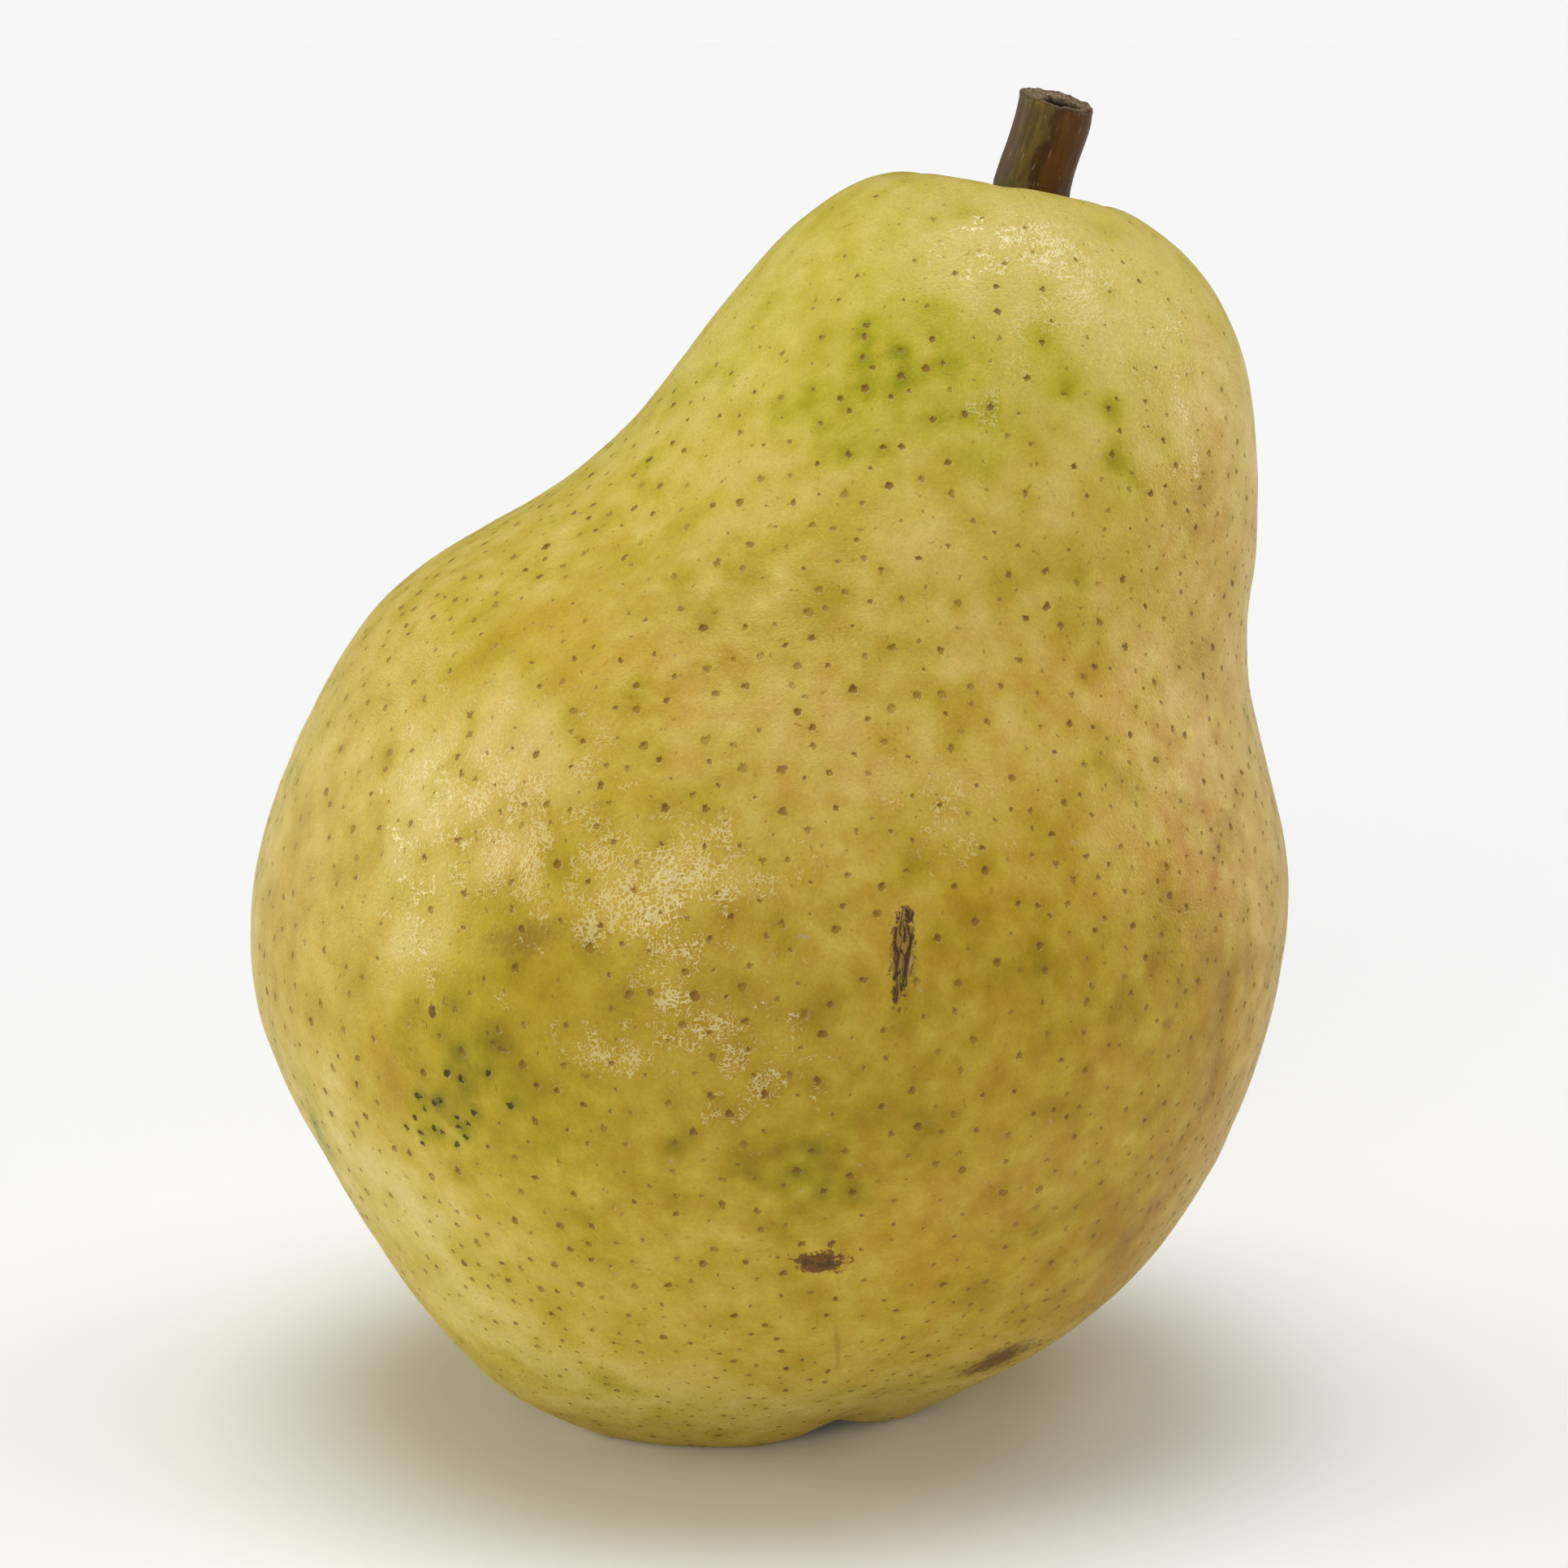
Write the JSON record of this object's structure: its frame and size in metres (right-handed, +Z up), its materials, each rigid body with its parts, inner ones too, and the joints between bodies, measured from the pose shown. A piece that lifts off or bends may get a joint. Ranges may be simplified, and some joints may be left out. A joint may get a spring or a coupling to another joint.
{
  "type": "pear",
  "caption": "Squat, leaning pear with a short woody stem, which stands on its lobed base with the dried calyx in a basin underneath.",
  "frame": {"origin": "middle of the bounding box, at the level of the surface that the pear stands on", "axes": "+Z up from the base to the stem, +X to the side that the neck leans to, -Y to the front"},
  "size_m": [0.071, 0.0702, 0.0905],
  "materials": {
    "skin": "waxy yellow-green fruit skin with fine dimples and small brown specks",
    "stem": "dull ridged bark with a fibrous cut end",
    "calyx": "dry, matt and papery"
  },
  "bodies": {
    "root": {"fruit": "skin", "stem": "stem", "calyx": "calyx"}
  },
  "joints": []
}
